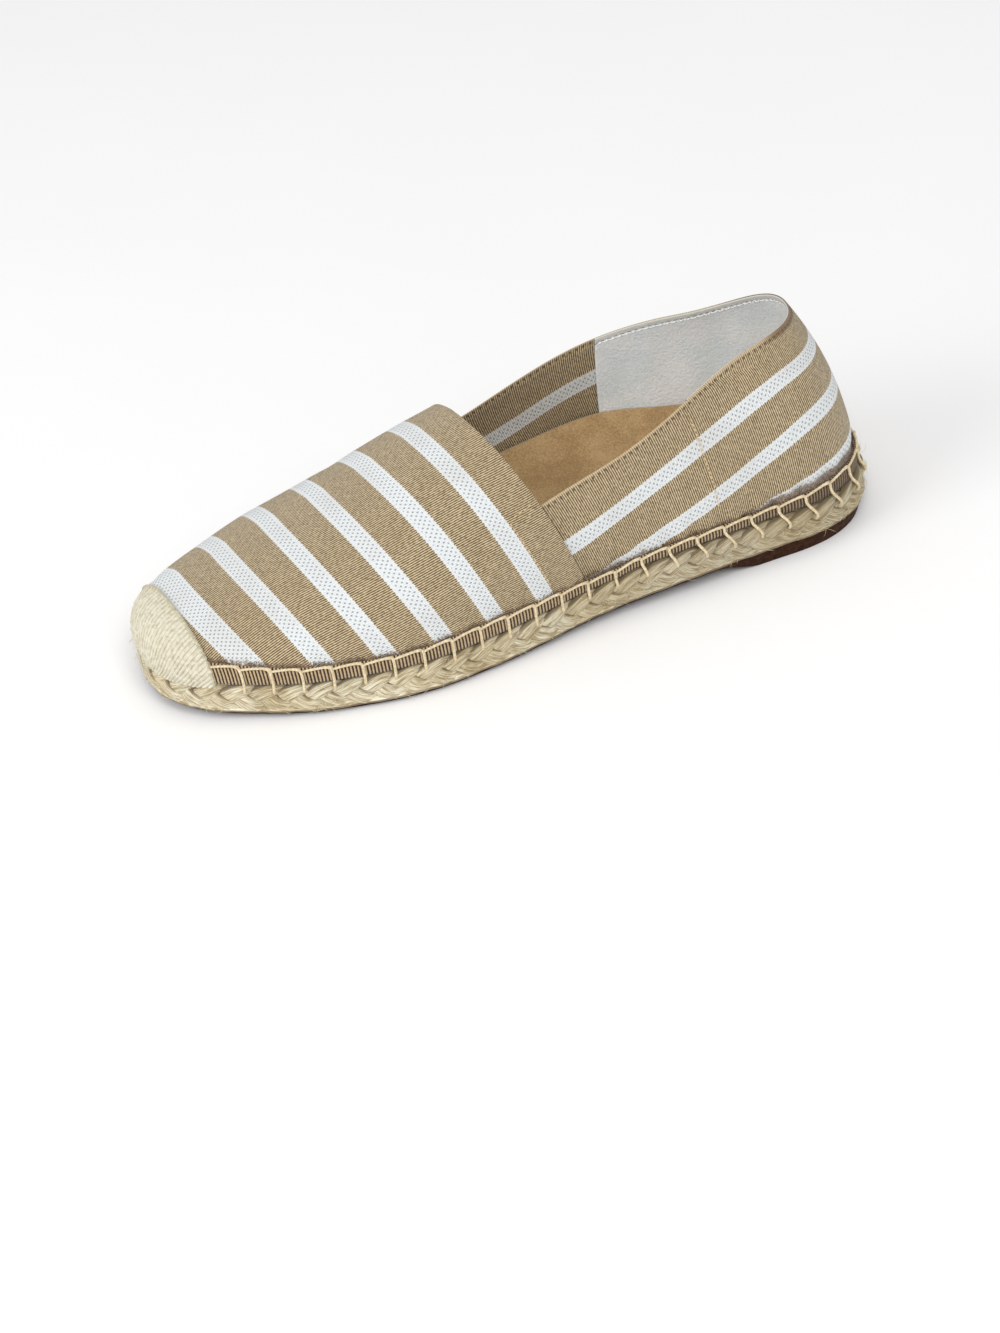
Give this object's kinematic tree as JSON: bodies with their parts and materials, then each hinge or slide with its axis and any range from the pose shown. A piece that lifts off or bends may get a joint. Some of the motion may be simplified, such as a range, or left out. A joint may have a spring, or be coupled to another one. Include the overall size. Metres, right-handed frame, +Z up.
{
  "type": "espadrille",
  "caption": "Slip-on espadrille for the left foot: striped cloth upper on a stitched jute sole, with toe cap, contoured footbed and thin rubber outsole.",
  "frame": {"origin": "middle of the bounding box's bottom face, on the ground under the shoe", "axes": "+X along the foot towards the toe, +Y towards the lateral (outer) side, +Z up"},
  "size_m": [0.258, 0.089, 0.0824],
  "materials": {
    "outsole": "matte dark brown rubber",
    "midsole": "natural jute plait",
    "insole": "tan suede",
    "upper": "woven cotton, tan with white stripes",
    "welt_tape": "ribbed brown tape",
    "toe_cap": "woven jute"
  },
  "bodies": {
    "root": {"outsole": "outsole", "midsole": "midsole", "insole": "insole", "upper": "upper", "welt_tape": "welt_tape", "toe_cap": "toe_cap"}
  },
  "joints": []
}
